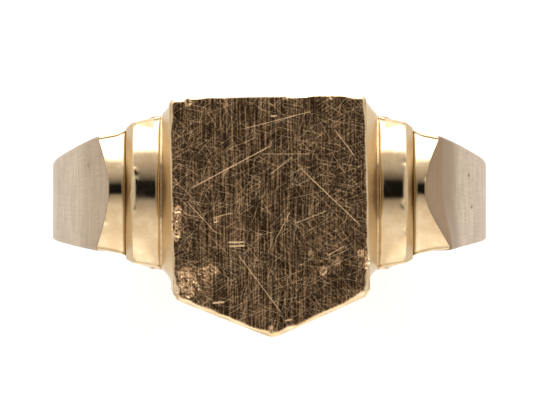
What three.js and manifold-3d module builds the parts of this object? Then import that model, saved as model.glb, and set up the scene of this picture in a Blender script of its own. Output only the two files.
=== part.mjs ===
// A gold signet ring with a shield-shaped seal, two stepped ridges on each shoulder
// and a tapering shank, built the way a goldsmith puts one together at the bench:
// cut parts soldered to each other, each solder seam a thin piece of its own.
//
// Units are millimetres. The finger goes through along Y, the seal faces +Z and the
// tip of the shield points to -Y. The origin is the centre of the finger hole.

import * as THREE from "three";
import { mergeVertices } from "three/addons/utils/BufferGeometryUtils.js";
import Module from "manifold-3d";

const wasm = await Module();
wasm.setup();

// ---- Driving dimensions ----

const FINGER_RADIUS = 9.4; // inside radius, which sets the ring size
const SHANK_WALL = 1.3; // metal between the finger and the outside of the band
const SHANK_SIDE_WIDTH = 3.75; // band width level with the middle of the finger
const SHANK_BACK_WIDTH = 2.9; // band width behind the finger
const SHANK_JOINT_ANGLE = 100; // degrees round from the seal to the shank's solder seams

const SEAL_WALL = 2.4; // metal between the finger and the seal face
const SHIELD_WIDTH = 9.36;
const SHIELD_BACK = 4.35; // from the middle of the band to the straight edge
const SHIELD_CORNER = 5.05; // from the middle of the band to the two lower corners
const SHIELD_TIP = 7.05; // from the middle of the band to the point
const SHIELD_TWIST = 1.2; // degrees the shield sits off the finger axis
const SHIELD_CORNER_ROUND = 0.3;
const SHIELD_TIP_ROUND = 0.35;
const PLATE_THICKNESS = 1.0;
const PLATE_BEVEL = 0.12; // worn edge around the seal face
const HEAD_TIP_UNDERCUT = 0.75; // how far the head's point draws back towards the finger
const HEAD_CORNER_UNDERCUT = 0.3;
const HEAD_SPREAD = 0.14; // how far each side of the head stands out at the finger

const SOLDER_THICKNESS = 0.08;

// The stepped shoulders, as stations along the band. "along" is measured round the finger
// hole from the head's seam, "wall" from the finger hole outwards, "width" across the band.
const RISER_OUT = 0.52; // from the side of the shield to the foot of the head's riser
const STATIONS = {
  flare: { along: -0.94, wall: 2.3, width: 8.45 },
  seam: { along: 0, wall: 1.21, width: 8.1 },
  ridgeOneEdge: { along: 0.97, wall: 1.99, width: 7.3 },
  riserFoot: { along: 1.91, wall: 1.13, width: 6.72 },
  ridgeTwoEdge: { along: 2.46, wall: 1.8, width: 6.2 },
  crease: { along: 3.63, wall: 1.49, width: 5.46 },
};
const CROWN_RISE = 0.13; // each ridge's crown stands this much above its outer edge station
const RIDGE_ONE_DOME = 4.7; // radius of the crown across the band
const RIDGE_TWO_DOME = 4.0;
const FACET_WALL = 1.05; // thinnest metal under the flat of the shoulder

// ---- Values that follow ----

const SEAL_Z = FINGER_RADIUS + SEAL_WALL;
const PLATE_Z = SEAL_Z - PLATE_THICKNESS;
const HEAD_TOP_Z = PLATE_Z - SOLDER_THICKNESS;
const OUTER_RADIUS = FINGER_RADIUS + SHANK_WALL;
const SEAM_X = SHIELD_WIDTH / 2 + RISER_OUT;
const SEAM_ANGLE = Math.asin(SEAM_X / (FINGER_RADIUS + STATIONS.seam.wall));
const JOINT_ANGLE = THREE.MathUtils.degToRad(SHANK_JOINT_ANGLE);
const REACH = 2 * (OUTER_RADIUS + SEAL_WALL + SHIELD_TIP); // longer than the ring in any direction
const BAND_OVERLAP = 0.1; // radians the two halves of the band share behind the finger
const DOME_REACH = 0.98; // how far out a dome is drawn, as a share of its radius
const MERGE_DISTANCE = 1e-5;

const BORE_STEPS = 120;
const BAND_STEPS = 72; // round half the band
const SHANK_STEPS = 48; // round a quarter of the shank's outside
const DOME_STEPS = 24;
const WEDGE_STEPS = 12;
const FLAT_STEPS = 12; // along each half of the shoulder's flat
const CORNER_STEPS = 4;

// ---- Outlines ----

const point = (x, y) => new THREE.Vector2(x, y);

// A point of the band's side view, x across the ring and y up, from an angle and a wall.
function onBand(angle, wall, side = 1) {
  const radius = FINGER_RADIUS + wall;
  return point(side * radius * Math.sin(angle), radius * Math.cos(angle));
}

function station(name, side = 1) {
  return onBand(stationAngle(name), STATIONS[name].wall, side);
}

function stationAngle(name) {
  return SEAM_ANGLE + STATIONS[name].along / FINGER_RADIUS;
}

function arcPoints(radius, from, to, steps, centreY = 0) {
  return Array.from({ length: steps + 1 }, (_, i) => {
    const angle = from + ((to - from) * i) / steps;
    return point(radius * Math.sin(angle), centreY + radius * Math.cos(angle));
  });
}

// A closed outline with each corner turned by its own radius.
function roundedOutline(corners) {
  const path = new THREE.Path();
  corners.forEach(({ at, round }, i) => {
    const before = corners[(i + corners.length - 1) % corners.length].at;
    const after = corners[(i + 1) % corners.length].at;
    const start = at.clone().add(before.clone().sub(at).setLength(round));
    const end = at.clone().add(after.clone().sub(at).setLength(round));
    if (i === 0) {
      path.moveTo(start.x, start.y);
    } else {
      path.lineTo(start.x, start.y);
    }
    path.quadraticCurveTo(at.x, at.y, end.x, end.y);
  });
  return path.getPoints(CORNER_STEPS);
}

// The shield, seen from above. Each argument draws that part of it in or out.
function shieldOutline({ sides = 0, back = 0, corners = 0, tip = 0 }) {
  const halfWidth = SHIELD_WIDTH / 2 + sides;
  const turned = (x, y, round) => ({
    at: point(x, y).rotateAround(point(0, 0), THREE.MathUtils.degToRad(SHIELD_TWIST)),
    round,
  });
  return roundedOutline([
    turned(-halfWidth, SHIELD_BACK + back, SHIELD_CORNER_ROUND),
    turned(-halfWidth, -SHIELD_CORNER - corners, SHIELD_CORNER_ROUND),
    turned(0, -SHIELD_TIP - tip, SHIELD_TIP_ROUND),
    turned(halfWidth, -SHIELD_CORNER - corners, SHIELD_CORNER_ROUND),
    turned(halfWidth, SHIELD_BACK + back, SHIELD_CORNER_ROUND),
  ]);
}

// ---- Solids ----

function toSolid(geometry) {
  const bare = geometry.clone();
  bare.deleteAttribute("normal");
  bare.deleteAttribute("uv");
  const merged = mergeVertices(bare, MERGE_DISTANCE);
  return new wasm.Manifold(
    new wasm.Mesh({
      numProp: 3,
      vertProperties: new Float32Array(merged.attributes.position.array),
      triVerts: new Uint32Array(merged.index.array),
    }),
  );
}

function toGeometry(solid) {
  const mesh = solid.getMesh();
  const geometry = new THREE.BufferGeometry();
  geometry.setAttribute("position", new THREE.BufferAttribute(mesh.vertProperties, 3));
  geometry.setIndex(new THREE.BufferAttribute(mesh.triVerts, 1));
  geometry.computeVertexNormals();
  return geometry;
}

function extrude(outline, depth) {
  return new THREE.ExtrudeGeometry(new THREE.Shape(outline), { depth, bevelEnabled: false });
}

// Seen from above, standing between two heights.
function upright(outline, low, high) {
  return toSolid(extrude(outline, high - low).translate(0, 0, low));
}

// Seen from the side, running right across the band.
function acrossBand(outline) {
  return toSolid(extrude(outline, REACH).rotateX(Math.PI / 2).translate(0, REACH / 2, 0));
}

// Seen along X, with the outline's x as Y and its y as Z, running right across the ring.
function acrossRing(outline) {
  const turn = new THREE.Matrix4().set(0, 0, 1, 0, 1, 0, 0, 0, 0, 1, 0, 0, 0, 0, 0, 1);
  return toSolid(extrude(outline, REACH).applyMatrix4(turn).translate(-REACH / 2, 0, 0));
}

// A prism whose foot has another outline with the same number of points as its top.
function taperedPrism(top, foot, low, high) {
  const geometry = extrude(top, high - low).translate(0, 0, low);
  const positions = geometry.attributes.position;
  const middle = (low + high) / 2;
  for (let i = 0; i < positions.count; i++) {
    if (positions.getZ(i) > middle) continue;
    const here = point(positions.getX(i), positions.getY(i));
    const distances = top.map((p) => p.distanceTo(here));
    const to = foot[distances.indexOf(Math.min(...distances))];
    positions.setXY(i, to.x, to.y);
  }
  return toSolid(geometry);
}

function fingerHole() {
  return toSolid(new THREE.CylinderGeometry(FINGER_RADIUS, FINGER_RADIUS, REACH, BORE_STEPS));
}

// Everything on one side of a plane through the finger axis, between two angles.
function wedge(from, to) {
  const outline = [point(0, 0), ...arcPoints(REACH, from, to, WEDGE_STEPS)];
  return acrossBand(outline);
}

// A thin slab lying on a plane through the finger axis, where two pieces are soldered.
function seamSlab(angle) {
  const slab = new THREE.BoxGeometry(SOLDER_THICKNESS, REACH, REACH);
  slab.translate(0, 0, REACH / 2).rotateY(angle);
  return toSolid(slab);
}

// ---- The band: shoulders and shank ----

// Half the band's width at an angle round the finger, straight from each station to the next.
function halfWidthAt(angle) {
  const widths = [
    [0, STATIONS.flare.width],
    ...Object.keys(STATIONS).map((name) => [stationAngle(name), STATIONS[name].width]),
    [Math.PI / 2, SHANK_SIDE_WIDTH],
    [Math.PI, SHANK_BACK_WIDTH],
    [2 * Math.PI, SHANK_BACK_WIDTH],
  ];
  const next = widths.findIndex(([at]) => at > angle);
  const [fromAngle, from] = widths[next - 1];
  const [toAngle, to] = widths[next];
  return (from + ((to - from) * (angle - fromAngle)) / (toAngle - fromAngle)) / 2;
}

// The room one side of the band may fill: a bar bent round the finger, with the band's width.
function bandEnvelope(side) {
  const bar = new THREE.BoxGeometry(1, 2, 1, BAND_STEPS, 1, 1);
  const positions = bar.attributes.position;
  for (let i = 0; i < positions.count; i++) {
    const angle = (positions.getX(i) + 0.5) * (Math.PI + BAND_OVERLAP);
    const radius = positions.getZ(i) < 0 ? FINGER_RADIUS - SHANK_WALL : SEAL_Z + SHANK_WALL;
    const across = side * positions.getY(i) * halfWidthAt(angle);
    positions.setXYZ(i, side * radius * Math.sin(angle), across, radius * Math.cos(angle));
  }
  return toSolid(bar);
}

// A bar with a domed top, whose crown is at the given height.
function domedBar(crown, radius) {
  const halfAngle = Math.asin(DOME_REACH);
  const dome = arcPoints(radius, -halfAngle, halfAngle, DOME_STEPS, crown - radius);
  const half = radius * DOME_REACH;
  return acrossRing([point(-half, -REACH / 2), ...dome, point(half, -REACH / 2)]);
}

// One ridge of a shoulder, up to the riser that faces away from the head.
function firstRidge(side) {
  const edge = station("ridgeOneEdge", side);
  const foot = station("riserFoot", side);
  const above = edge.clone().add(edge.clone().sub(foot));
  const outline = [point(0, 0), point(foot.x, 0), foot, above, point(0, above.y)];
  return acrossBand(outline).intersect(domedBar(edge.y + CROWN_RISE, RIDGE_ONE_DOME));
}

// The shoulder's long flat, from the side of the band up to its crease. It is thinnest half
// way, leaves the crease at an angle and runs smoothly into the round of the shank.
function shoulderFlat(side) {
  const sideAngle = Math.PI / 2;
  const creaseAngle = stationAngle("crease");
  return Array.from({ length: 2 * FLAT_STEPS + 1 }, (_, i) => {
    const way = 1 - i / FLAT_STEPS;
    const angle = (sideAngle + creaseAngle + way * (sideAngle - creaseAngle)) / 2;
    const extra =
      way > 0
        ? (SHANK_WALL - FACET_WALL) * way * way * (3 - 2 * way)
        : (STATIONS.crease.wall - FACET_WALL) * way * way;
    return onBand(angle, FACET_WALL + extra, side);
  });
}

// The second ridge, cut off by the two flats of the shoulder, and the band under them.
function secondRidge(side) {
  const edge = station("ridgeTwoEdge", side);
  const crease = station("crease", side);
  const above = edge.clone().add(edge.clone().sub(crease));
  const below = arcPoints(OUTER_RADIUS, Math.PI + BAND_OVERLAP, Math.PI / 2, SHANK_STEPS)
    .slice(0, -1)
    .map((p) => point(side * p.x, p.y));
  const outline = [point(0, 0), ...below, ...shoulderFlat(side), above, point(0, above.y)];
  return acrossBand(outline).intersect(domedBar(edge.y + CROWN_RISE, RIDGE_TWO_DOME));
}

function halfBand(side) {
  return firstRidge(side)
    .add(secondRidge(side))
    .intersect(bandEnvelope(side))
    .subtract(fingerHole());
}

// What lies outside the head's seam on one side, moved outwards by a distance.
function beyondSeam(side, outwards) {
  const box = new THREE.BoxGeometry(REACH, REACH, REACH);
  return toSolid(box.translate(side * (REACH / 2 + SEAM_X + outwards), 0, 0));
}

function shoulder(side) {
  return halfBand(side)
    .intersect(beyondSeam(side, SOLDER_THICKNESS / 2))
    .intersect(wedge(0, side * JOINT_ANGLE))
    .subtract(seamSlab(side * JOINT_ANGLE));
}

function shoulderSolder(side) {
  return halfBand(side)
    .intersect(beyondSeam(side, -SOLDER_THICKNESS / 2))
    .intersect(wedge(0, side * JOINT_ANGLE))
    .subtract(beyondSeam(side, SOLDER_THICKNESS / 2));
}

function shankSolder(side) {
  return halfBand(side).intersect(seamSlab(side * JOINT_ANGLE));
}

function shank() {
  return halfBand(1)
    .add(halfBand(-1))
    .intersect(wedge(JOINT_ANGLE, 2 * Math.PI - JOINT_ANGLE))
    .subtract(seamSlab(JOINT_ANGLE))
    .subtract(seamSlab(-JOINT_ANGLE));
}

// ---- The head ----

// The slope on each side of the head that runs down to the first ridge.
function riser(side) {
  const foot = station("seam", side);
  const top = point((side * SHIELD_WIDTH) / 2, HEAD_TOP_Z);
  const outline = [point(0, 0), point(foot.x, 0), foot, top, point(0, HEAD_TOP_Z)];
  return acrossBand(outline).intersect(bandEnvelope(side));
}

function headBlock() {
  const top = shieldOutline({});
  const foot = shieldOutline({
    sides: HEAD_SPREAD,
    corners: -HEAD_CORNER_UNDERCUT,
    tip: -HEAD_TIP_UNDERCUT,
  });
  const low = FINGER_RADIUS * Math.cos(SEAM_ANGLE) - SHANK_WALL;
  return taperedPrism(top, foot, low, HEAD_TOP_Z)
    .add(riser(1).add(riser(-1)))
    .subtract(fingerHole())
    .subtract(beyondSeam(1, -SOLDER_THICKNESS / 2))
    .subtract(beyondSeam(-1, -SOLDER_THICKNESS / 2));
}

function plateSolder() {
  return upright(shieldOutline({}), HEAD_TOP_Z, PLATE_Z);
}

function sealPlate() {
  const rim = shieldOutline({});
  const inset = -PLATE_BEVEL;
  const face = shieldOutline({ sides: inset, back: inset, corners: inset, tip: inset });
  const bevelFoot = SEAL_Z - PLATE_BEVEL;
  return upright(rim, PLATE_Z, bevelFoot).add(taperedPrism(face, rim, bevelFoot, SEAL_Z));
}

// ---- Materials and assembly ----

function gold(color, roughness) {
  return new THREE.MeshStandardMaterial({ color, roughness, metalness: 1 });
}

const brushedGold = gold(0xb08d63, 0.42);
const polishedGold = gold(0xe6c68a, 0.12);
const satinGold = gold(0xdcbf98, 0.38);
const solderGold = gold(0xe8d3a4, 0.25);

const group = new THREE.Group();

function place(name, solid, material) {
  const mesh = new THREE.Mesh(toGeometry(solid), material);
  mesh.name = name;
  group.add(mesh);
}

place("seal_plate", sealPlate(), brushedGold);
place("plate_solder", plateSolder(), solderGold);
place("head_block", headBlock(), polishedGold);
for (const [name, side] of [["left", -1], ["right", 1]]) {
  place(`shoulder_${name}_solder`, shoulderSolder(side), solderGold);
  place(`shoulder_${name}`, shoulder(side), polishedGold);
  place(`shank_${name}_solder`, shankSolder(side), solderGold);
}
place("shank", shank(), satinGold);

export default group;
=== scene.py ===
# %% [markdown]
# # A gold signet ring with a shield-shaped seal
# The ring is ten pieces of yellow gold: a seal plate, a head under it, a stepped shoulder on
# each side, a shank, and the five thin solder seams between them. The sizes come from a
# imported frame, which gives every piece its place. This lesson makes the surfaces that an
# eye would want: a scratched and worn seal, two polished ridges on each shoulder, and satin
# flats that run down to the shank.

import math

import bmesh
import bpy
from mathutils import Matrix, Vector, noise


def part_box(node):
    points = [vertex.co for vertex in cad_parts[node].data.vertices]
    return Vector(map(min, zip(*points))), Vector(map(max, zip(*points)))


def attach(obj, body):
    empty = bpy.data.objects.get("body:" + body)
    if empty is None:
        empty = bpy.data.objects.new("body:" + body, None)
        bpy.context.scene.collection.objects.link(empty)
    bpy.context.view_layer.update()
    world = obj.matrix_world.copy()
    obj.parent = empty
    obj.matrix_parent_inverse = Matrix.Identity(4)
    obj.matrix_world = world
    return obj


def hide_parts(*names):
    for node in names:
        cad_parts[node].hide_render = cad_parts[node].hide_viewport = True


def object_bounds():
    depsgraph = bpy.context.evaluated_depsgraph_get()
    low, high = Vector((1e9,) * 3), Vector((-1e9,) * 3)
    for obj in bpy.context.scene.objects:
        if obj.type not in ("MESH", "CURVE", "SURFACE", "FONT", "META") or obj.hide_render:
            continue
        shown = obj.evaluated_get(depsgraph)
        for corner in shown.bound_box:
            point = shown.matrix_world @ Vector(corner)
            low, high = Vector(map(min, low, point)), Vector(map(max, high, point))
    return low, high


MM = 0.001  # the frame is in metres, and a ring is easier to think of in millimetres

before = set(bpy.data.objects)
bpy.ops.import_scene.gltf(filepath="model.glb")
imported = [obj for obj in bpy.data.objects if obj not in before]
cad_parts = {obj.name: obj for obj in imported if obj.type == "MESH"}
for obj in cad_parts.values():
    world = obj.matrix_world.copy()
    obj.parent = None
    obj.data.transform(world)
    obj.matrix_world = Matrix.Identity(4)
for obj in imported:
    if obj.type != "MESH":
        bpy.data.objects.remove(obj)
cad_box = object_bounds()
print("pieces in the frame:", ", ".join(sorted(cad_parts)))

# %% [markdown]
# ## Sizes
# The finger goes through along Y and the seal faces up along Z. Heights are read from the
# frame, and the dimensions of the steps are written here in millimetres. Each step of a
# shoulder is a station in side view: x across the ring and z up.

# %% Sizes in millimetres
plate_low, plate_high = (Vector(corner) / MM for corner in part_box("seal_plate"))
head_high = Vector(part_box("head_block")[1]) / MM
ring_low, ring_high = (Vector(corner) / MM for corner in cad_box)

BORE = 9.4  # radius of the finger hole
OUTSIDE = ring_high.x  # radius of the shank's outside
SHANK_WALL = OUTSIDE - BORE
FLAT_WALL = 1.05  # thinnest metal under a shoulder's flat
SEAM = 0.08  # thickness of a solder seam

SEAM_X, SEAM_Z = 5.2, 9.25  # the valley at the foot of the head
RIDGE_ONE_X = 6.58  # the first ridge's sharp edge
RISER_FOOT = Vector((6.91, 7.95))
RIDGE_TWO_EDGE = Vector((7.83, 8.01))
CREASE = Vector((8.52, 6.78))
RIGHT_EDGE, RIGHT_CREASE = Vector((7.60, 8.01)), Vector((8.38, 6.98))  # filed nearer to the head
RIDGE_ONE_TOP, RIDGE_ONE_DOME = 9.43, 4.7
RIDGE_TWO_TOP, RIDGE_TWO_SLOPE, RIDGE_TWO_ROUND, RIDGE_TWO_MIDDLE = 8.14, 0.76, 2.0, 0.12

SHIELD_HALF = 4.68
SHIELD_BACK = 4.35
SHIELD_CORNER = 5.05
SHIELD_TIP = 7.05
SHIELD_TWIST = math.radians(1.2)
CORNER_ROUND = 0.3
print("seal face at", round(plate_high.z, 2), "mm, shank outside", round(OUTSIDE, 2), "mm")

# %% [markdown]
# ## Small mathematics
# A few helpers carry the whole model. `blend` goes from one value to another, `ease` does it
# softly, and `along` turns two or three control points into a point on a line or a curve.

# %% Blends and curves
def blend(start, end, way):
    return start + (end - start) * way


def ease(way):
    way = min(max(way, 0), 1)
    return way * way * (3 - 2 * way)


def table_value(table, at):
    """Reads a table of (place, value) rows, straight from each row to the next."""
    for (left, from_value), (right, to_value) in zip(table, table[1:]):
        if at <= right:
            return blend(from_value, to_value, max(at - left, 0) / (right - left))
    return table[-1][1]


def along(points, way):
    """A point on a straight line, or on a curve pulled towards a middle point."""
    while len(points) > 1:
        points = [blend(a, b, way) for a, b in zip(points, points[1:])]
    return points[0]


print("a quarter of the way, softly:", ease(0.25))

# %% [markdown]
# ## Making an object from a mesh
# Every piece ends in the same way: its mesh is cleaned, its faces are turned outwards, soft
# and sharp edges are told apart, and it takes the place of its node in the frame. A closed
# mesh has two faces at every edge, so the number of open edges should be none.

# %% Finishing a piece
SHARP = math.radians(32)  # a steeper angle between two faces is a sharp edge
WELD = 1e-4  # mm


def finish_piece(bm, node, materials):
    bmesh.ops.remove_doubles(bm, verts=bm.verts[:], dist=WELD)
    bmesh.ops.recalc_face_normals(bm, faces=bm.faces[:])
    for face in bm.faces:
        face.smooth = True
    for edge in bm.edges:
        edge.smooth = edge.calc_face_angle(0) < SHARP
    bmesh.ops.scale(bm, vec=(MM, MM, MM), verts=bm.verts[:])
    mesh = bpy.data.meshes.new(node + "_look")
    open_edges = sum(1 for edge in bm.edges if not edge.is_manifold)
    bm.to_mesh(mesh)
    bm.free()
    piece = bpy.data.objects.new(node + "_look", mesh)
    bpy.context.scene.collection.objects.link(piece)
    for material in materials:
        mesh.materials.append(material)
    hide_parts(node)
    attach(piece, "root")
    print(f"{node}: {len(mesh.polygons)} faces, {open_edges} open edges")


print("edges are sharp from", round(math.degrees(SHARP)), "degrees")

# %% [markdown]
# ## The camera
# The ring is looked at from straight above the seal, with a long lens, leaning three degrees
# towards the tip of the shield so that the walls of the tip just show.

# %% Camera
scene = bpy.context.scene
scene.view_settings.view_transform = "Standard"

LENS_DISTANCE = 300
LENS_LEAN = math.radians(3)
FOCAL_LENGTH, FILM_WIDTH = 405.4, 36
NEAREST, FARTHEST = 0.01, 10  # metres
AIM = Vector((0, -0.06, 0))

camera = bpy.data.objects.new("camera", bpy.data.cameras.new("camera"))
scene.collection.objects.link(camera)
camera.data.sensor_width = FILM_WIDTH
camera.data.lens = FOCAL_LENGTH
camera.data.clip_start, camera.data.clip_end = NEAREST, FARTHEST
lean = Vector((0, -math.sin(LENS_LEAN), math.cos(LENS_LEAN)))
camera.location = (AIM + lean * LENS_DISTANCE) * MM
camera.rotation_euler = (-lean).to_track_quat("-Z", "Y").to_euler()
scene.camera = camera
print("camera at", [round(value, 4) for value in camera.location])

# %% [markdown]
# ## Writing shaders as expressions
# A shader is arithmetic on values that change over a surface. Here one class wraps a socket
# so that the arithmetic can be written down, and one method makes any other node.

# %% Shader helpers
class Signal:
    """What comes out of a node. Arithmetic on it adds Math nodes."""

    def __init__(self, shader, socket):
        self.shader, self.socket = shader, socket

    def maths(self, operation, *values):
        sockets = dict(enumerate(values))
        return self.shader.node("ShaderNodeMath", {"operation": operation}, sockets)

    def __add__(self, other):
        return self.maths("ADD", self, other)

    def __sub__(self, other):
        return self.maths("SUBTRACT", self, other)

    def __rsub__(self, other):
        return self.maths("SUBTRACT", other, self)

    def __mul__(self, other):
        return self.maths("MULTIPLY", self, other)

    def __truediv__(self, other):
        return self.maths("DIVIDE", self, other)

    def __pow__(self, other):
        return self.maths("POWER", self, other)

    def __abs__(self):
        return self.maths("ABSOLUTE", self)

    __radd__, __rmul__ = __add__, __mul__

    def over(self, low, high):
        """0 below low and 1 above high, softly in between. The two may be swapped."""
        sockets = {"Value": self, "From Min": low, "From Max": high}
        settings = {"interpolation_type": "SMOOTHSTEP", "clamp": True}
        return self.shader.node("ShaderNodeMapRange", settings, sockets)


class Shader:
    """A tree of nodes."""

    def __init__(self, owner):
        owner.use_nodes = True
        self.tree = owner.node_tree
        self.tree.nodes.clear()

    def node(self, kind, settings=None, sockets=None, output=0):
        made = self.tree.nodes.new(kind)
        for name, value in (settings or {}).items():
            if name == "stops":
                (first, *middle, last), ends = value, made.color_ramp.elements
                ends[0].position, ends[0].color = first
                ends[1].position, ends[1].color = last
                for position, color in middle:
                    ends.new(position).color = color
            else:
                setattr(made, name, value)
        for name, value in (sockets or {}).items():
            if isinstance(value, Signal):
                self.tree.links.new(value.socket, made.inputs[name])
            else:
                made.inputs[name].default_value = value
        return Signal(self, made.outputs[output]) if made.outputs else None

    def place(self):
        return self.node("ShaderNodeTexCoord", output="Object")

    def grain(self, per_mm, turn=0, detail=2.0, seed=0.0):
        """Noise with its own number of features per millimetre along x, y and z."""
        scale = tuple(value / MM for value in per_mm)
        settings = {"vector_type": "POINT"}
        turned = self.node(
            "ShaderNodeMapping",
            settings,
            {"Vector": self.place(), "Rotation": (0, 0, math.radians(turn))},
        )
        sized = self.node(
            "ShaderNodeMapping",
            settings,
            {"Vector": turned, "Scale": scale, "Location": (seed, seed, seed)},
        )
        return self.node(
            "ShaderNodeTexNoise",
            {"noise_dimensions": "3D"},
            {"Vector": sized, "Scale": 1.0, "Detail": detail, "Roughness": 0.6},
            "Fac",
        )

    def painted(self, name):
        """An attribute that the mesh carries."""
        return self.node("ShaderNodeAttribute", {"attribute_name": name}, {}, "Fac")

    def mix(self, factor, dark, light):
        sockets = {"Factor": factor, 6: dark, 7: light}
        return self.node("ShaderNodeMix", {"data_type": "RGBA"}, sockets, 2)

    def bump(self, height, microns):
        sockets = {"Height": height, "Strength": 1.0, "Distance": microns * MM * MM}
        return self.node("ShaderNodeBump", {}, sockets)


print("shader helpers ready")

# %% [markdown]
# ## Polished gold
# The ridges and the head are polished like a mirror, so they take their look from what they
# reflect. The metal itself adds a faint wave left by the polishing mop, hairline
# scratches, and a warmer tone where soap and wear have dulled it. On the risers and the
# head's walls the mesh carries an attribute called matte, and there the gold is darker and
# rougher.

# %% Polished gold
POLISHED, DULLED = (0.87, 0.68, 0.43, 1), (0.75, 0.55, 0.32, 1)
# the darker colour of the risers and the head's walls, where the matte attribute is set
DARK_RISERS_AND_WALLS = (0.56, 0.41, 0.22, 1)


def metal(shader, color, roughness, normal):
    sockets = {"Base Color": color, "Metallic": 1.0, "Roughness": roughness}
    sockets["Normal"] = normal
    surface = shader.node("ShaderNodeBsdfPrincipled", {}, sockets)
    shader.node("ShaderNodeOutputMaterial", {}, {"Surface": surface})


def flat_place(shader):
    """The x and y of a place on the surface, in millimetres."""
    sockets = {"Vector": shader.place()}
    return [shader.node("ShaderNodeSeparateXYZ", {}, sockets, axis) / MM for axis in "XY"]


def hairlines(shader, x, y, turn, seed, length=2.2, spacing=0.42, width=0.016, share=0.35):
    """Straight scratches in about one direction, at most one to each long cell of a grid."""
    c, s = math.cos(math.radians(turn)), math.sin(math.radians(turn))
    u = (x * c + y * s) / length + seed * 0.37
    v = (y * c - x * s) / spacing + seed * 0.71
    cell_u, cell_v = u.maths("FLOOR", u), v.maths("FLOOR", v)
    cell = shader.node("ShaderNodeCombineXYZ", {}, {"X": cell_u, "Y": cell_v, "Z": seed})
    dice = shader.node("ShaderNodeTexWhiteNoise", {}, {"Vector": cell}, "Color")
    where, lean, strength = (
        shader.node("ShaderNodeSeparateColor", {}, {"Color": dice}, name)
        for name in ("Red", "Green", "Blue")
    )
    way = u - cell_u
    middle = 0.25 + 0.5 * where + 0.45 * (lean - 0.5) * (way - 0.5)
    off = abs(v - cell_v - middle)
    line = off.over(width / spacing, 0.3 * width / spacing)
    return line * (way * (1 - way)).over(0.02, 0.2) * strength.over(1 - share, 1.0)


def make_polished_gold():
    material = bpy.data.materials.new("polished_gold")
    shader = Shader(material)
    wave = shader.grain((0.6, 0.6, 0.6), 0, 1.0)
    x, y = flat_place(shader)
    lines = hairlines(shader, x, y, 25, 1.0) + hairlines(shader, x, y, -60, 4.0)
    dull = shader.grain((1.3, 1.3, 1.3), 0, 3.0, 3.0)
    matte = shader.painted("matte")
    bright = shader.mix(dull.over(0.35, 0.7), DULLED, POLISHED)
    color = shader.mix(matte, bright, DARK_RISERS_AND_WALLS)
    roughness = 0.07 + 0.07 * dull.over(0.4, 0.75) + 0.12 * lines + 0.26 * matte
    metal(shader, color, roughness, shader.bump(wave - 0.12 * lines, 2.5))
    return material


polished_gold = make_polished_gold()
print("polished gold:", len(polished_gold.node_tree.nodes), "nodes")

# %% [markdown]
# ## Satin gold
# The flats of the shoulders and the shank were finished with fine emery paper drawn along
# the finger. The marks are very fine, so the noise is stretched along y, and a fainter set
# crosses them. Metal rubbed like this scatters light and looks paler than polished gold. An
# attribute darkens it: painted shade on the narrow flats, and a darker tone in steep dents.

# %% Satin gold
SATIN_DARK, SATIN_LIGHT = (0.40, 0.305, 0.22, 1), (0.64, 0.51, 0.38, 1)
# the colour of the painted shade on the narrow flats, and of the darker steep dents
PAINTED_SHADE_AND_DARK_DENTS = (0.26, 0.165, 0.09, 1)


def make_satin_gold():
    material = bpy.data.materials.new("satin_gold")
    shader = Shader(material)
    fine = shader.grain((16, 0.5, 16), 0, 2.0)
    broad = shader.grain((3.0, 0.3, 3.0), 0, 2.0, 5.0)
    cloud = shader.grain((0.5, 0.5, 0.5), 0, 2.0, 8.0)
    x, y = flat_place(shader)
    lines = hairlines(shader, x, y, 40, 2.0) + hairlines(shader, x, y, -75, 6.0)
    across = shader.grain((1.0, 14, 1.0), 0, 2.0, 11.0)
    tone = 0.55 * fine + 0.07 * broad + 0.2 * across + 0.18 * cloud
    rubbed = shader.mix(tone.over(0.35, 0.65), SATIN_DARK, SATIN_LIGHT)
    # painted shade: the attribute darkens the narrow flats towards this colour, and steep dents
    # too
    color = shader.mix(shader.painted("patina"), rubbed, PAINTED_SHADE_AND_DARK_DENTS)
    roughness = 0.30 + 0.16 * fine
    height = 0.6 * fine + 0.15 * broad + 0.2 * across - 0.3 * lines
    metal(shader, color, roughness, shader.bump(height, 1.4))
    return material


satin_gold = make_satin_gold()
print("satin gold:", len(satin_gold.node_tree.nodes), "nodes")

# %% [markdown]
# ## Solder gold
# Solder is an alloy of its own, a little paler than the gold around it, and it shows
# pinholes where gas came out as it froze.

# %% Solder gold
SOLDER_DARK, SOLDER_LIGHT = (0.80, 0.60, 0.35, 1), (0.92, 0.75, 0.50, 1)


def make_solder_gold():
    material = bpy.data.materials.new("solder_gold")
    shader = Shader(material)
    cloud = shader.grain((2.5, 2.5, 2.5), 0, 3.0, 2.0)
    pits = shader.grain((9, 9, 9), 0, 1.0, 6.0).over(0.68, 0.74)
    color = shader.mix(cloud.over(0.35, 0.65), SOLDER_DARK, SOLDER_LIGHT)
    roughness = 0.34 + 0.1 * cloud + 0.2 * pits
    metal(shader, color, roughness, shader.bump(cloud - pits, 3.0))
    return material


solder_gold = make_solder_gold()
print("solder gold:", len(solder_gold.node_tree.nodes), "nodes")

# %% [markdown]
# ## The seal's worn finish
# The seal is a flat sheet that was brushed from top to tip and then carried for decades. Its
# brushing shows best down the middle. Over it lie scuffs in every direction and seventeen
# long scratches. Each long scratch is a line between two points, so its mask is the
# distance from that line, cut off at both ends. An attribute called rubbed marks the rim,
# which is worn back to bare gold.

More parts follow.
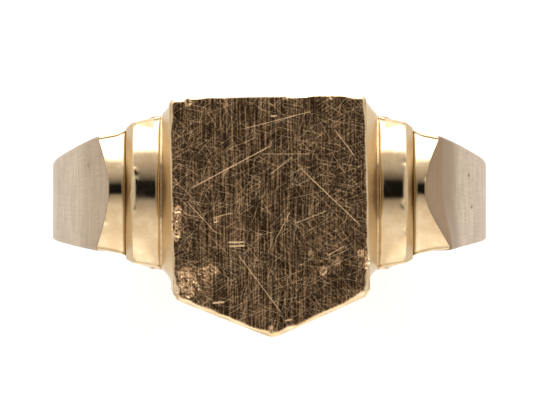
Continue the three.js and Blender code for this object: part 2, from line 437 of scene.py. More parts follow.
# %% Brushed gold
LONG_SCRATCHES = [
    # from x, y to x, y in mm, half width in mm, strength
    (-3.97, -0.13, 0.36, 2.18, 0.028, 0.9),
    (-1.45, 2.77, 2.26, 3.73, 0.024, 0.7),
    (1.31, 1.11, 4.50, -1.94, 0.026, 0.9),
    (3.00, 2.92, 4.07, 1.49, 0.026, 0.8),
    (-1.69, -2.89, 0.74, -6.15, 0.024, 0.8),
    (-0.55, 1.63, 2.12, 1.63, 0.020, 0.6),
    (-0.07, 0.59, 1.17, 1.54, 0.024, 0.7),
    (-4.00, -0.56, -2.45, -2.22, 0.024, 0.7),
    (0.31, -2.41, 1.02, -1.03, 0.022, 0.7),
    (2.74, -3.22, 3.64, -2.70, 0.026, 0.8),
    (-2.02, -2.57, -1.16, -2.57, 0.055, 1.0),
    (-1.96, -2.76, -1.12, -2.73, 0.055, 1.0),
    (-2.74, -5.46, -2.10, -5.40, 0.065, 1.0),
    (0.72, -6.29, 1.10, -6.23, 0.050, 0.9),
    (0.02, 3.42, 0.38, 3.46, 0.055, 0.9),
    (1.10, -1.72, 2.85, -1.02, 0.030, 0.6),
    (-2.75, -1.42, -1.70, -1.16, 0.034, 0.7),
]
SCUFFS = [  # seed, direction in degrees, length in mm
    (3.0, -32, 1.4), (5.0, 47, 1.9), (7.0, 72, 1.2), (11.0, -58, 1.7), (13.0, 22, 2.4),
    (17.0, -12, 1.1), (19.0, 33, 1.0), (23.0, -44, 2.6),
]
SCUFF_SPACING = 0.16  # distance between scuffs, as a share of their length
WORN_DARK, WORN_LIGHT = (0.09, 0.050, 0.022, 1), (0.83, 0.515, 0.275, 1)
SCRATCHED = (0.95, 0.70, 0.43, 1)
RIM_DARK, RIM_LIGHT = (0.79, 0.58, 0.33, 1), (0.94, 0.73, 0.46, 1)


def long_scratch(shader, x, y, from_x, from_y, to_x, to_y, half_width, strength):
    length = math.hypot(to_x - from_x, to_y - from_y)
    run_x, run_y = (to_x - from_x) / length, (to_y - from_y) / length
    way = (x - from_x) * run_x + (y - from_y) * run_y
    off = abs((y - from_y) * run_x - (x - from_x) * run_y)
    ends = way.over(0, 0.15 * length) * way.over(length, 0.85 * length)
    return off.over(half_width, half_width * 0.3) * ends * strength


def make_brushed_gold():
    material = bpy.data.materials.new("brushed_gold")
    shader = Shader(material)
    x, y = flat_place(shader)
    brushing = shader.grain((16, 0.6, 1), 0, 1.0)
    bands = shader.grain((4.5, 0.22, 1), 1, 2.0, 3.0)
    middle = abs(x + 0.6).over(3.6, 0.8)
    cross = shader.grain((1.2, 14, 1), 12, 2.0, 5.0)
    slant = shader.grain((14, 1.4, 1), -38, 2.0, 9.0)
    speckle = shader.grain((11, 9, 1), 0, 3.0, 17.0)
    cloud = shader.grain((0.7, 0.7, 1), 0, 4.0, 12.0)
    scuffs = hairlines(shader, x, y, 14, 2.0)
    for seed, turn, length in SCUFFS:
        spacing = SCUFF_SPACING * length
        scuffs = scuffs + hairlines(shader, x, y, turn, seed, length, spacing, 0.014, 0.5)
    marks = long_scratch(shader, x, y, *LONG_SCRATCHES[0])
    for scratch in LONG_SCRATCHES[1:]:
        marks = marks.maths("MAXIMUM", marks, long_scratch(shader, x, y, *scratch))

    brushed = (0.55 + 0.5 * middle) * (brushing - 0.5) + 0.1 * (bands - 0.5)
    rubbed = (1.0 - 0.7 * middle) * (0.35 * (cross - 0.5) + 0.4 * (slant - 0.5))
    tone = brushed + rubbed + 0.72 * (speckle - 0.5) + 0.18 * (cloud - 0.5)
    scratched = marks + 0.45 * scuffs
    bright = scratched.maths("MINIMUM", scratched, 1.0)
    rubbed_bare = shader.painted("rubbed")
    worn = shader.mix(tone.over(-0.15, 0.19), WORN_DARK, WORN_LIGHT)
    marked = shader.mix(bright, worn, SCRATCHED)
    rim = shader.mix(cloud.over(0.38, 0.62), RIM_DARK, RIM_LIGHT)
    color = shader.mix(rubbed_bare, marked, rim)
    roughness = (0.27 + 0.3 * abs(tone) + 0.35 * bright) * (1 - 0.4 * rubbed_bare)
    height = (tone - 1.2 * bright) * (1 - 0.7 * rubbed_bare)
    metal(shader, color, roughness, shader.bump(height, 3.0))
    return material


brushed_gold = make_brushed_gold()
print("brushed gold:", len(brushed_gold.node_tree.nodes), "nodes")

# %% [markdown]
# ## The studio
# A mirror shows its room, so the room is part of the finish. Straight above the seal it is
# dark, where a camera would stand. Behind the ring hangs a bright softbox, in front of it is
# a warm reflector, and the sides are middling. The world is three ramps, one for each of
# those directions, read by how far a direction leans from straight up.

# %% World
def grey(level, warmth=0.0):
    return (level, level * (1 - 0.5 * warmth), level * (1 - warmth), 1)


BEHIND = [
    (0, grey(0.008)), (14, grey(0.012)), (19, grey(0.16, 0.1)), (30, grey(0.46, 0.1)),
    (49, grey(0.80, 0.08)), (52, grey(1.7)), (84, grey(1.6)), (92, grey(0.9)), (180, grey(0.8)),
]
IN_FRONT = [
    (0, grey(0.008)), (4, grey(0.012)), (9, grey(0.40, 0.12)), (30, grey(0.84, 0.10)),
    (52, grey(1.05, 0.08)), (64, grey(1.5, 0.05)), (79, grey(1.4, 0.05)), (88, grey(0.62)),
    (105, grey(0.45)), (180, grey(0.8)),
]
BESIDE = [
    (0, grey(0.008)), (10, grey(0.015)), (18, grey(0.28, 0.1)), (36, grey(0.62, 0.1)),
    (60, grey(0.85, 0.05)), (80, grey(0.55)), (105, grey(0.40)), (180, grey(0.8)),
]


def make_world():
    world = bpy.data.worlds.new("studio")
    shader = Shader(world)
    direction = shader.node("ShaderNodeTexCoord", output="Generated")
    x, y, z = (
        shader.node("ShaderNodeSeparateXYZ", {}, {"Vector": direction}, axis) for axis in "XYZ"
    )
    lean_from_top = z.maths("ARCCOSINE", z) / math.pi
    level = x * x + y * y + 1e-6
    behind = y.maths("MAXIMUM", y, 0.0) ** 2.0 / level
    front = y.maths("MINIMUM", y, 0.0) * y / level
    beside = x * x / level
    total = None
    for stops, weight in ((BEHIND, behind), (IN_FRONT, front), (BESIDE, beside)):
        ramp = shader.node(
            "ShaderNodeValToRGB",
            {"stops": [(angle / 180, color) for angle, color in stops]},
            {"Fac": lean_from_top},
        )
        part = shader.node(
            "ShaderNodeVectorMath", {"operation": "SCALE"}, {"Vector": ramp, "Scale": weight}
        )
        if total is None:
            total = part
        else:
            total = shader.node("ShaderNodeVectorMath", {"operation": "ADD"}, {0: total, 1: part})
    light = shader.node("ShaderNodeBackground", {}, {"Color": total, "Strength": 1.0})
    shader.node("ShaderNodeOutputWorld", {}, {"Surface": light})
    return world


scene.world = make_world()
print("world:", len(scene.world.node_tree.nodes), "nodes")

# %% [markdown]
# The ring stands on its shank on a plain white floor, which glows a little so that it stays
# white right under the ring. One large soft lamp behind the ring gives its light a side.

# %% Floor and lamp
FLOOR_HALF = 0.7  # metres
FLOOR_GLOW = 0.38
LAMP_SIZE, LAMP_POWER = 0.26, 0.5
LAMP_PLACE = (0, 0.40, 0.15)


def make_floor():
    material = bpy.data.materials.new("studio_floor")
    shader = Shader(material)
    sockets = {"Base Color": (0.9, 0.9, 0.89, 1), "Roughness": 0.9}
    sockets["Emission Color"] = (1, 1, 0.99, 1)
    sockets["Emission Strength"] = FLOOR_GLOW
    surface = shader.node("ShaderNodeBsdfPrincipled", {}, sockets)
    shader.node("ShaderNodeOutputMaterial", {}, {"Surface": surface})
    bm = bmesh.new()
    bmesh.ops.create_grid(bm, x_segments=1, y_segments=1, size=FLOOR_HALF)
    bmesh.ops.translate(bm, vec=(0, 0, ring_low.z * MM), verts=bm.verts[:])
    mesh = bpy.data.meshes.new("floor")
    bm.to_mesh(mesh)
    bm.free()
    mesh.materials.append(material)
    floor = bpy.data.objects.new("floor", mesh)
    scene.collection.objects.link(floor)


make_floor()
lamp = bpy.data.objects.new("softbox", bpy.data.lights.new("softbox", "AREA"))
lamp.data.size = LAMP_SIZE
lamp.data.energy = LAMP_POWER
lamp.location = LAMP_PLACE
lamp.rotation_euler = Vector(LAMP_PLACE).to_track_quat("Z", "Y").to_euler()
scene.collection.objects.link(lamp)
print("floor at", round(ring_low.z, 2), "mm")

# %% [markdown]
# ## The band in side view
# A shoulder is easiest to see from the side. From the head outwards there is a rolled inner
# side, a crown, a straight riser, a second rolled side and crown, a narrow flat, a crease and
# a long flat. The crowns are domed along the finger, so their heights drop away from the
# middle. Each stretch is a line or a curve with a fixed number of steps, so that
# every sharp edge stays on a row of the mesh. The right shoulder's flat was filed at a slant,
# so its stations move outwards towards the tip of the seal.

# %% Stations of the shoulder
ROLL_ONE, ROLL_TWO = 0.26, 0.22  # width of each ridge's rolled inner side
ROLL_DROP = 0.07
LIP = 0.045  # how far a ridge's sharp edge is worn round
MIDDLE_RUB, RUB_AT, RUB_REACH = 0.16, -0.1, 2.4  # the first ridge is worn more in its middle
FLARE_START = 2.0  # from here outwards the band runs straight down beside the head
RISER_DROP = 0.9  # least height of the first ridge's riser, out at its ends
FOOT_WIDTH, FOOT_DROP, LEAST_ROLL = 0.01, 0.02, 0.1  # of the valley between the ridges
SIDE_ANGLE = math.pi / 2
JOINT_ANGLE = math.radians(100)


def wide_crown(y):
    """The first ridge's crown: part of a circle."""
    return RIDGE_ONE_TOP - RIDGE_ONE_DOME + math.sqrt(RIDGE_ONE_DOME**2 - y * y)


def crown_beside_head(y):
    """The first ridge's crown where it meets the head: round, then a straight slope."""
    beyond = max(abs(y) - FLARE_START, 0)
    slope = FLARE_START / math.sqrt(RIDGE_ONE_DOME**2 - FLARE_START**2)
    return wide_crown(min(abs(y), FLARE_START)) - slope * beyond


def tight_crown(y):
    """The second ridge's crown: domed tightly in the middle and nearly straight beyond it."""
    off = math.hypot(y - RIDGE_TWO_MIDDLE, RIDGE_TWO_ROUND) - RIDGE_TWO_ROUND
    return RIDGE_TWO_TOP - RIDGE_TWO_SLOPE * off


def flat_point(crease, way):
    """The long flat, thinnest half way, as an angle round the finger and a wall."""
    angle = blend(math.atan2(crease.x, crease.y), SIDE_ANGLE, way)
    lean = 2 * way - 1
    if lean < 0:
        wall = FLAT_WALL + (crease.length - BORE - FLAT_WALL) * lean * lean
    else:
        wall = FLAT_WALL + (SHANK_WALL - FLAT_WALL) * ease(lean)
    return Vector((math.sin(angle), math.cos(angle))) * (BORE + wall)


def stretches(y, edge, crease):
    """The side view of a shoulder at a place across it: control points and steps."""
    top_one, top_two = wide_crown(y), tight_crown(y)
    start = SEAM_X + SEAM / 2
    inner_one = Vector((start + ROLL_ONE, crown_beside_head(y)))
    seam = Vector((start, min(SEAM_Z, inner_one.y) - ROLL_DROP))
    edge_one = Vector((RIDGE_ONE_X, top_one))
    foot = Vector((RISER_FOOT.x, min(RISER_FOOT.y, top_one - RISER_DROP)))
    rub = LIP + MIDDLE_RUB * ease(1 - abs(y - RUB_AT) / RUB_REACH)
    lip_one = edge_one + (inner_one - edge_one).normalized() * rub
    brow_one = edge_one + (foot - edge_one).normalized() * rub
    valley = Vector((foot.x + FOOT_WIDTH, min(foot.y - FOOT_DROP, top_two - LEAST_ROLL)))
    inner_two = Vector((valley.x + ROLL_TWO, top_two))
    down_flat = (crease - edge).normalized()
    edge_two = crease + down_flat * ((top_two - crease.y) / down_flat.y)
    lip_two = edge_two - Vector((LIP, 0))
    brow_two = edge_two + down_flat * LIP
    return [
        ((seam, Vector((seam.x, inner_one.y)), inner_one), 6),
        ((inner_one, lip_one), 10),
        ((lip_one, edge_one, brow_one), 4),
        ((brow_one, foot), 8),
        ((foot, valley), 2),
        ((valley, Vector((valley.x, top_two)), inner_two), 5),
        ((inner_two, lip_two), 8),
        ((lip_two, edge_two, brow_two), 3),
        ((brow_two, crease), 6),
    ]


STEPS = [steps for _, steps in stretches(0, RIDGE_TWO_EDGE, CREASE)]
SATIN_FROM = sum(STEPS[:7]) + 1  # the first row of the narrow flat
FLAT_STEPS, END_STEPS = 80, 4
SKEW_REACH = 2.9  # how far along the finger a slant takes to reach its full size


def shoulder_view(edge, crease, skew=0):
    """The outside of a shoulder in side view: a point for a row of the mesh and a place across.
    The skew is how much further out the narrow flat lies towards the tip of the seal."""

    def point(row, y):
        out = Vector((skew * ease(-y / SKEW_REACH), 0))
        for points, steps in stretches(y, edge + out, crease + out):
            if row <= steps:
                return along(points, row / steps)
            row -= steps
        if row <= FLAT_STEPS:
            return flat_point(crease + out, row / FLAT_STEPS)
        angle = blend(SIDE_ANGLE, JOINT_ANGLE - SEAM / 2 / OUTSIDE, (row - FLAT_STEPS) / END_STEPS)
        return Vector((math.sin(angle), math.cos(angle))) * OUTSIDE

    return point


SHOULDER_ROWS = sum(STEPS) + FLAT_STEPS + END_STEPS
print("a shoulder has", SHOULDER_ROWS, "rows")

# %% [markdown]
# ## The band's width and its skin
# The band narrows from the head to the back. Its width is a table by angle round the finger.
# A skin is a flat grid, pushed through a wall by an extrusion, and then every vertex is moved
# to its place: one side to the outside of the ring, the other to the finger hole. The
# outermost columns turn through a quarter circle, which rounds the long edges.

# %% The band builder
WIDTHS = [  # angle round the finger in degrees, half width in mm
    (0, 4.0), (23.6, 4.0), (29.35, 3.85), (32.5, 3.70), (34, 3.62), (36.8, 3.52),
    (40.4, 3.38), (45.3, 3.13), (46.9, 2.92), (50.2, 2.76), (51.5, 2.73), (90, 1.875),
    (180, 1.45),
]
EDGE_ROUND, BORE_ROUND = 0.14, 0.16
COLUMNS, TURN_COLUMNS = 84, 5
SHANK_DOME = 0.14  # how much lower the shank's outside is at its edges


def half_width(angle):
    degrees = abs(math.degrees(angle))
    return table_value(WIDTHS, min(degrees, 360 - degrees))


def column_place(column):
    """Where a column is: from -1 to 1 across the flat part, and its turn round the edge."""
    last = COLUMNS - TURN_COLUMNS
    across = min(max(column, TURN_COLUMNS), last)
    turned = (column - across) / TURN_COLUMNS * math.pi / 2
    return 2 * (across - TURN_COLUMNS) / (last - TURN_COLUMNS) - 1, turned


def band_point(side_view, row, column, side, seam_shift):
    """The outside and finger-hole points of the band for a row and a column."""
    across, turned = column_place(column)
    at = side_view(row, 0)
    for _ in range(2):
        angle = math.atan2(at.x, at.y)
        y = across * (half_width(angle) - EDGE_ROUND)
        at = side_view(row, y)
    angle = math.atan2(at.x, at.y)
    reach = at.length - EDGE_ROUND * (1 - math.cos(turned))
    y += EDGE_ROUND * math.sin(turned)
    outside = Vector((side * reach * math.sin(angle), y, reach * math.cos(angle)))
    angle = seam_shift(angle)
    reach = BORE + BORE_ROUND * (1 - math.cos(turned))
    inside = Vector((side * reach * math.sin(angle), y, reach * math.cos(angle)))
    return outside, inside


def same_angle(angle):
    return angle


def unpainted(row):
    return 0, 0


def band_piece(rows, side_view, side, seam_shift=same_angle, satin_from=0, paint=unpainted):
    bm = bmesh.new()
    # the second attribute holds painted shade for the narrow flats and the darkening of steep
    # dents
    matte, patina = bm.verts.layers.float.new("matte"), bm.verts.layers.float.new("patina")
    bmesh.ops.create_grid(bm, x_segments=COLUMNS, y_segments=rows, size=1)
    for face in bm.faces:
        row = rows * (face.calc_center_median().y + 1) / 2
        face.material_index = int(row >= satin_from)
    skin = bm.faces[:]
    made = bmesh.ops.extrude_face_region(bm, geom=skin, use_keep_orig=True)
    inner = {item for item in made["geom"] if isinstance(item, bmesh.types.BMVert)}
    for face in made["geom"]:
        if isinstance(face, bmesh.types.BMFace):
            face.material_index = 0
    for vertex in bm.verts:
        column = round(COLUMNS * (vertex.co.x + 1) / 2)
        row = round(rows * (vertex.co.y + 1) / 2)
        outside, inside = band_point(side_view, row, column, side, seam_shift)
        vertex.co = inside if vertex in inner else outside
        vertex[matte], vertex[patina] = paint(row)
    return bm


print("half width at the side of the finger:", half_width(SIDE_ANGLE), "mm")

# %% [markdown]
# ## Dents
# Soft gold takes a dent from every door handle. A dent here is a smooth dip: the
# vertices within its radius move against their normals, most in the middle. A steep dent is
# also made darker on satin.

# %% Denting
# how much darker a dent is made on satin for its steepness
DARKNESS_BY_STEEPNESS = 3.0


def dent(bm, dents):
    """Dents are given by the x, y and z of their middle, their radius and their depth."""
    bm.normal_update()
    patina = bm.verts.layers.float["patina"]
    for x, y, z, radius, depth in dents:
        centre = Vector((x, y, z))
        # steep dents are made darker on satin
        darkness = min(DARKNESS_BY_STEEPNESS * depth / radius, 1)
        for vertex in bm.verts:
            deep = ease(1 - (vertex.co - centre).length / radius)
            if deep > 0:
                vertex.co -= vertex.normal * depth * deep
                vertex[patina] = max(vertex[patina], darkness * ease(2 * deep))


print("full of dirt from a depth of", round(1 / DARKNESS_BY_STEEPNESS, 2), "of the radius")

# %% [markdown]
# ## The shoulders
# One function draws both shoulders, mirrored. The right one's narrow flat was filed nearer
# to the head, and it slants outwards towards the tip of the seal. At the head the end of the
# band stands upright, like the face that it is soldered to, so the finger-hole side is
# shifted along a little there.

# %% Shoulders
SHIFT_ENDS = math.radians(46)
RIGHT_SKEW = 0.45
# how strong the painted shade is on each side's narrow flat
PAINTED_SHADE_LEFT, PAINTED_SHADE_RIGHT = 0.35, 0.8


def shift_to_seam(angle):
    """Turns the finger-hole side so that the end by the head is a vertical plane."""
    start = math.atan2(SEAM_X, SEAM_Z)
    upright = math.asin((SEAM_X + SEAM / 2) / BORE)
    way = min(max((angle - start) / (SHIFT_ENDS - start), 0), 1)
    return angle + (upright - start) * (1 - way)


LEFT_DENTS = [
    (-6.45, 1.0, 9.33, 0.22, 0.05), (-6.40, 0.55, 9.36, 0.16, 0.04),
    (-6.62, -0.2, 9.2, 0.25, 0.06), (-6.55, -0.9, 9.3, 0.2, 0.04),
    (-7.9, -1.4, 7.8, 0.22, 0.03), (-8.76, 1.43, 6.18, 0.16, 0.05),
]
RIGHT_DENTS = [
    (6.5, -0.6, 9.35, 0.25, 0.06), (6.62, -1.9, 9.0, 0.3, 0.06), (6.5, 1.4, 9.2, 0.2, 0.04),
    (7.6, 0.7, 8.1, 0.2, 0.04), (9.72, 1.08, 3.8, 0.17, 0.06), (9.89, -0.44, 3.38, 0.15, 0.06),
]
RISER_ROWS = [sum(STEPS[:3]) - 1, sum(STEPS[:6]) - 2]
CREASE_ROW = sum(STEPS)
CROWN_FADE, FLAT_FADE = 6, 16  # rows over which the painted shade fades out


def paint_shoulder(deep):
    """The risers are darker and rougher than the crowns, and the narrow flat carries painted
    shade.
    """

    def paint(row):
        matte = ease(1 - max(RISER_ROWS[0] - row, row - RISER_ROWS[1], 0) / 2)
        fade = max((SATIN_FROM - row) / CROWN_FADE, (row - CREASE_ROW) / FLAT_FADE, 0)
        # painted shade: full on the narrow flat, fading out over the rows beyond it
        patina = deep * ease(1.5 - fade)
        return matte, patina

    return paint


left_view = shoulder_view(RIDGE_TWO_EDGE, CREASE)
right_view = shoulder_view(RIGHT_EDGE, RIGHT_CREASE, RIGHT_SKEW)
for side, word, view, dents, deep in (
    (-1, "left", left_view, LEFT_DENTS, PAINTED_SHADE_LEFT),
    (1, "right", right_view, RIGHT_DENTS, PAINTED_SHADE_RIGHT),
):
    paint = paint_shoulder(deep)
    bm = band_piece(SHOULDER_ROWS, view, side, shift_to_seam, SATIN_FROM, paint)
    dent(bm, dents)
    finish_piece(bm, "shoulder_" + word, [polished_gold, satin_gold])

# %% [markdown]
# ## The shank
# The shank carries on from the shoulders round the back of the finger. It starts flat and
# becomes slightly domed across, as wear leaves it.

# %% Shank
SHANK_ROWS = 150
SHANK_START = JOINT_ANGLE + SEAM / 2 / OUTSIDE
DOME_START, DOME_FADE = 0.7, 0.25  # measured from 1 at the seal to 0 at the back


def round_point(angle, y):
    from_back = abs(math.sin((angle - math.pi) / 2))
    dome = SHANK_DOME * ease((DOME_START - from_back) / DOME_FADE)
    reach = OUTSIDE - dome * (y / half_width(angle)) ** 2
    return Vector((math.sin(angle), math.cos(angle))) * reach


def shank_point(row, y):
    return round_point(blend(SHANK_START, 2 * math.pi - SHANK_START, row / SHANK_ROWS), y)


SHANK_DENTS = [
    (0.8, 0.6, -10.65, 0.5, 0.03), (-2.4, -0.4, -10.4, 0.4, 0.03), (4.4, 0.2, -9.7, 0.35, 0.02),
    (-6.0, 0.7, -8.8, 0.4, 0.03), (7.6, -0.6, -7.5, 0.3, 0.02),
]
bm = band_piece(SHANK_ROWS, shank_point, 1)
dent(bm, SHANK_DENTS)
finish_piece(bm, "shank", [polished_gold, satin_gold])

# %% [markdown]
# ## The seams of the band
# Four seams hold the band together: one beside the head on each side, which is an upright
# slice in the valley at the foot of the head, and one on each side between shoulder
# and shank.

# %% Band seams
SLICE_ROWS = 2


def joint_point(row, y):
    half = SEAM / 2 / OUTSIDE
    return round_point(blend(JOINT_ANGLE - half, JOINT_ANGLE + half, row / SLICE_ROWS), y)


def valley_point(row, y):
    edge = left_view(0, y)
    return Vector((SEAM_X - SEAM / 2 + SEAM * row / SLICE_ROWS, edge.y))


def stand_upright(angle):
    """The finger-hole point straight under a point of the valley."""
    return math.asin(min(SEAM_Z * math.tan(angle), SEAM_X + SEAM / 2) / BORE)


for side, word in ((-1, "left"), (1, "right")):
    bm = band_piece(SLICE_ROWS, joint_point, side)
    finish_piece(bm, f"shank_{word}_solder", [solder_gold])
    bm = band_piece(SLICE_ROWS, valley_point, side, stand_upright)
    finish_piece(bm, f"shoulder_{word}_solder", [solder_gold])

# %% [markdown]
# ## The shield's outline
# The seal, its seam and the head share one outline, so one function draws it. It takes
# a square grid and gives each vertex its share of the shield: columns stay parallel to the
# sides, and rows run parallel to the straight back at one end and to the two slopes of the
# tip at the other. A corner is rounded by turning the square layers around it into arcs.

# %% Shield
TIP_SOFTNESS = 0.04


def shield_edge(x_share, corner, tip):
    """How far the slopes of the tip reach at a share of the half width."""
    rise = math.hypot(x_share, TIP_SOFTNESS) - TIP_SOFTNESS
    return -tip + (tip - corner) * rise


def shield_place(a, b, half, back, corner, tip, rounding=CORNER_ROUND):
    """A place on the shield and its distance to the rim, for a place on a square."""
    front = shield_edge(a, corner, tip)
    half_length = (back - front) / 2
    from_side, from_end = half * (1 - abs(a)), half_length * (1 - abs(b))
    x, y = a * half, front + half_length * (1 + b)
    p, q = rounding - from_side, rounding - from_end
    if p > 0 and q > 0:
        pull = 1 - max(p, q) / math.hypot(p, q)
        x -= math.copysign(p * pull, a)
        y -= math.copysign(q * pull, b)
    return Vector((x, y)), min(from_side, from_end)


def twisted(place, turn=SHIELD_TWIST):
    c, s = math.cos(turn), math.sin(turn)
    return Vector((place.x * c - place.y * s, place.x * s + place.y * c))


print("shield tip at", round(twisted(Vector((0, -SHIELD_TIP))).y, 2), "mm")

# %% [markdown]
# A grid's lines can be bunched where detail is needed. Here they close up near the rim, so
# that a worn edge a tenth of a millimetre wide still has several rows of faces.

# %% Bunched grid lines
RIM_LINES, RIM_SHARE = 8, 0.1


def bunched(lines_between, lines_at_rim, rim):
    """Places from -1 to 1, with extra lines within the rim's share at both ends."""
    at_rim = [rim * i / lines_at_rim for i in range(lines_at_rim)]
    between = [rim + (2 - 2 * rim) * i / lines_between for i in range(lines_between + 1)]
    return [place - 1 for place in at_rim + between + [2 - place for place in reversed(at_rim)]]


def bunched_grid(bm, across, lengthwise):
    """A grid whose vertices sit at the given places, with the outer square from -1 to 1."""
    columns, rows = len(across) - 1, len(lengthwise) - 1
    bmesh.ops.create_grid(bm, x_segments=columns, y_segments=rows, size=1)
    for vertex in bm.verts:
        vertex.co.x = across[round(columns * (vertex.co.x + 1) / 2)]
        vertex.co.y = lengthwise[round(rows * (vertex.co.y + 1) / 2)]


print("a small set:", [round(place, 3) for place in bunched(4, 2, RIM_SHARE)])

# %% [markdown]
# ## The head
# The head is the block under the seal. Its underside is part of the finger hole, its sides
# spread down into the first ridges, and its tip is cut back under the seal. A grid is the
# underside, an extrusion makes the top, and the walls are subdivided so that each row can
# follow the slope beside the shoulders.

# %% Head block
HEAD_TOP = head_high.z
HEAD_SPREAD = 0.02
CORNER_CUT, TIP_CUT = 0.3, 0.75
HEAD_COLUMNS, HEAD_ROWS, WALL_CUTS = 36, 60, 9
RISER_HALF, RISER_FADE, RISER_CURVE = 3.68, 4.34, 1.5
HEAD_MATTE = 0.8


def side_reach(y, z):
    """Half the head's width at a place along the finger and a height."""
    spread = blend(HEAD_SPREAD, 0, (z - SEAM_Z) / (HEAD_TOP - SEAM_Z))
    slope = blend(SEAM_X, SHIELD_HALF, (z - SEAM_Z) / (HEAD_TOP - SEAM_Z))
    beside = min(max((RISER_FADE - abs(y)) / (RISER_FADE - RISER_HALF), 0), 1) ** RISER_CURVE
    return blend(SHIELD_HALF + max(spread, 0), min(slope, SEAM_X - SEAM / 2), beside)


def head_point(a, b, level):
    cut = 1 - level
    corner, tip = SHIELD_CORNER - CORNER_CUT * cut, SHIELD_TIP - TIP_CUT * cut
    place, _ = shield_place(a, b, SHIELD_HALF, SHIELD_BACK, corner, tip)
    under_x = min(abs(place.x), SHIELD_HALF) * (SEAM_X / SHIELD_HALF)
    under = math.sqrt(BORE**2 - under_x**2)
    z = blend(under, HEAD_TOP, level)
    place.x *= side_reach(place.y, z) / SHIELD_HALF
    if level == 0:
        z = math.sqrt(BORE**2 - place.x**2)
    turn = SHIELD_TWIST * ease((z - SEAM_Z) / (HEAD_TOP - SEAM_Z))
    place = twisted(place, turn)
    return Vector((place.x, place.y, z))


def make_head():
    bm = bmesh.new()
    matte = bm.verts.layers.float.new("matte")
    across = bunched(HEAD_COLUMNS, RIM_LINES, RIM_SHARE)
    bunched_grid(bm, across, bunched(HEAD_ROWS, RIM_LINES, RIM_SHARE))
    skin = bm.faces[:]
    made = bmesh.ops.extrude_face_region(bm, geom=skin, use_keep_orig=True)
    top = [item for item in made["geom"] if isinstance(item, bmesh.types.BMVert)]
    bmesh.ops.translate(bm, vec=(0, 0, 1), verts=top)
    walls = [edge for edge in bm.edges if edge.verts[0].co.z != edge.verts[1].co.z]
    bmesh.ops.subdivide_edges(bm, edges=walls, cuts=WALL_CUTS, use_grid_fill=True)
    for vertex in bm.verts:
        vertex[matte] = HEAD_MATTE * (vertex.co.z > 0)
        vertex.co = head_point(*vertex.co)
    return bm


bm = make_head()
finish_piece(bm, "head_block", [polished_gold])

# %% [markdown]
# ## The seam under the seal
# A hair-thin sheet of solder lies between the head and the seal plate. It stops just short of
# the rim, as filed solder does.

# %% Plate seam
FILED_BACK = 0.015
SLAB_LINES = 16


def make_slab(lines, low, high, inset):
    bm = bmesh.new()
    bunched_grid(bm, lines, lines)
    half, back = SHIELD_HALF - inset, SHIELD_BACK - inset
    corner, tip = SHIELD_CORNER - inset, SHIELD_TIP - inset
    made = bmesh.ops.extrude_face_region(bm, geom=bm.faces[:], use_keep_orig=True)
    upper = {item for item in made["geom"] if isinstance(item, bmesh.types.BMVert)}
    for vertex in bm.verts:
        place, _ = shield_place(vertex.co.x, vertex.co.y, half, back, corner, tip)
        vertex.co = (*twisted(place), high if vertex in upper else low)
    return bm


slab_lines = bunched(SLAB_LINES, RIM_LINES, RIM_SHARE)
bm = make_slab(slab_lines, head_high.z, plate_low.z, FILED_BACK)
finish_piece(bm, "plate_solder", [solder_gold])

# %% [markdown]
# ## The seal plate
# The rim of the seal is worn by different amounts as it goes round: hardly at all along the
# back, most at the corners, and evenly along the two slopes of the tip. A table by
# direction from the middle gives the width of that worn band. Inside it the face is flat, but
# for craters and nicks that are deep enough to be real dents in the mesh.

# %% Seal plate
WORN_WIDTH = [  # direction from the middle in degrees, width in mm
    (-180, 0.07), (-150, 0.08), (-140, 0.14), (-132.8, 0.30), (-125, 0.20), (-115, 0.24),
    (-100, 0.16), (-90, 0.30), (-80, 0.18), (-65, 0.17), (-53, 0.20), (-47.5, 0.40),
    (-42, 0.20), (-35, 0.12), (0, 0.09), (27, 0.10), (36, 0.12), (40, 0.20), (44, 0.22),
    (50, 0.08), (58, 0.03), (64, 0.04), (67, 0.10), (75, 0.12), (79, 0.04), (90, 0.025),
    (120, 0.025), (130, 0.06), (137.1, 0.24), (140, 0.16), (150, 0.08), (180, 0.07),
]
WORN_STEEPNESS, WORN_CURVE = 0.62, 1.5
WORN_RAGGED, RAGS_PER_MM = 0.5, 1.6  # how unevenly the rim is worn
FACE_DENTS = [  # x, y, radius and depth in mm
    (-4.38, -0.95, 0.20, 0.09), (-4.47, -1.36, 0.18, 0.08), (-4.58, -1.78, 0.17, 0.08),
    (-4.46, -2.16, 0.22, 0.10), (-4.14, -4.03, 0.24, 0.08), (-3.74, -4.32, 0.22, 0.07),
    (-3.27, -3.93, 0.26, 0.08), (-2.81, -3.80, 0.24, 0.06), (-3.95, -4.85, 0.26, 0.09),
    (-4.30, -4.45, 0.20, 0.07), (-3.48, -4.72, 0.18, 0.05), (2.45, -3.93, 0.24, 0.06),
    (3.12, -3.51, 0.20, 0.06), (-2.61, -1.46, 0.14, 0.05), (1.93, -3.10, 0.14, 0.05),
    (4.23, -3.22, 0.20, 0.07), (4.60, -3.60, 0.26, 0.12), (0.0, -6.75, 0.20, 0.09),
    (-3.70, 4.16, 0.20, 0.06), (3.02, 4.28, 0.16, 0.05), (0.95, 4.32, 0.20, 0.05),
    (-4.05, -4.60, 0.16, 0.06),
]
PITTED = [  # x, y and radius in mm of patches of small pits
    (-3.85, -4.35, 1.1), (-3.0, -3.85, 0.7), (-4.5, -1.5, 0.8), (4.45, -3.4, 0.6),
]
PIT_DEPTH, PITS_PER_MM = 0.12, 4.5
DENT_RAGGED, DENT_RAGS_PER_MM, DENT_BARE = 0.8, 5, 0.12
SEAL_COLUMNS, SEAL_ROWS, SEAL_RIM_LINES = 176, 196, 13
SEAL_RIM_ACROSS, SEAL_RIM_ALONG = 0.1, 0.09


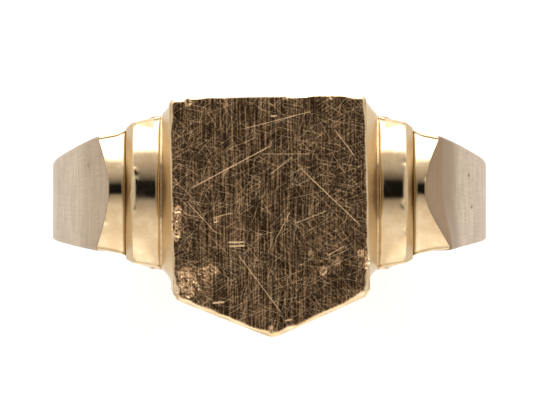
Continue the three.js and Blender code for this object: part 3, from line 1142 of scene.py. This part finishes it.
def seal_height(place, to_rim):
    """The height of the seal's face at a place, and how bare it is rubbed there."""
    width = table_value(WORN_WIDTH, math.degrees(math.atan2(place.y, place.x)))
    width *= 1 + WORN_RAGGED * noise.noise(Vector((place.x, place.y, 0)) * RAGS_PER_MM)
    worn = max(1 - to_rim / width, 0)
    height = plate_high.z - WORN_STEEPNESS * width * worn**WORN_CURVE
    bare = ease(worn * 3)
    for x, y, radius in PITTED:
        rough = ease(1.4 - 1.4 * math.hypot(place.x - x, place.y - y) / radius)
        pit = noise.noise(Vector((place.x, place.y, 3)) * PITS_PER_MM)
        height -= PIT_DEPTH * rough * abs(pit)
    for x, y, radius, depth in FACE_DENTS:
        far = math.hypot(place.x - x, place.y - y)
        ragged = noise.noise(Vector((place.x, place.y, x)) * DENT_RAGS_PER_MM)
        far += DENT_RAGGED * radius * ragged
        if far < radius:
            share = far / radius
            height -= depth * ease(1 - share)
            bare = max(bare, DENT_BARE * ease(2 - 2 * share))
    return height, bare


def make_seal():
    bm = bmesh.new()
    rubbed = bm.verts.layers.float.new("rubbed")
    across = bunched(SEAL_COLUMNS, SEAL_RIM_LINES, SEAL_RIM_ACROSS)
    bunched_grid(bm, across, bunched(SEAL_ROWS, SEAL_RIM_LINES, SEAL_RIM_ALONG))
    rim = [edge for edge in bm.edges if edge.is_boundary]
    for vertex in bm.verts:
        a, b = vertex.co.x, vertex.co.y
        place, to_rim = shield_place(a, b, SHIELD_HALF, SHIELD_BACK, SHIELD_CORNER, SHIELD_TIP)
        height, vertex[rubbed] = seal_height(place, to_rim)
        vertex.co = (*twisted(place), height)
    made = bmesh.ops.extrude_edge_only(bm, edges=rim)
    lower = [item for item in made["geom"] if isinstance(item, bmesh.types.BMVert)]
    for vertex in lower:
        vertex.co.z = plate_low.z
        vertex[rubbed] = 1
    sides = [item for item in made["geom"] if isinstance(item, bmesh.types.BMEdge)]
    foot = [edge for edge in sides if all(vertex in lower for vertex in edge.verts)]
    bmesh.ops.contextual_create(bm, geom=foot)
    return bm


bm = make_seal()
finish_piece(bm, "seal_plate", [brushed_gold])
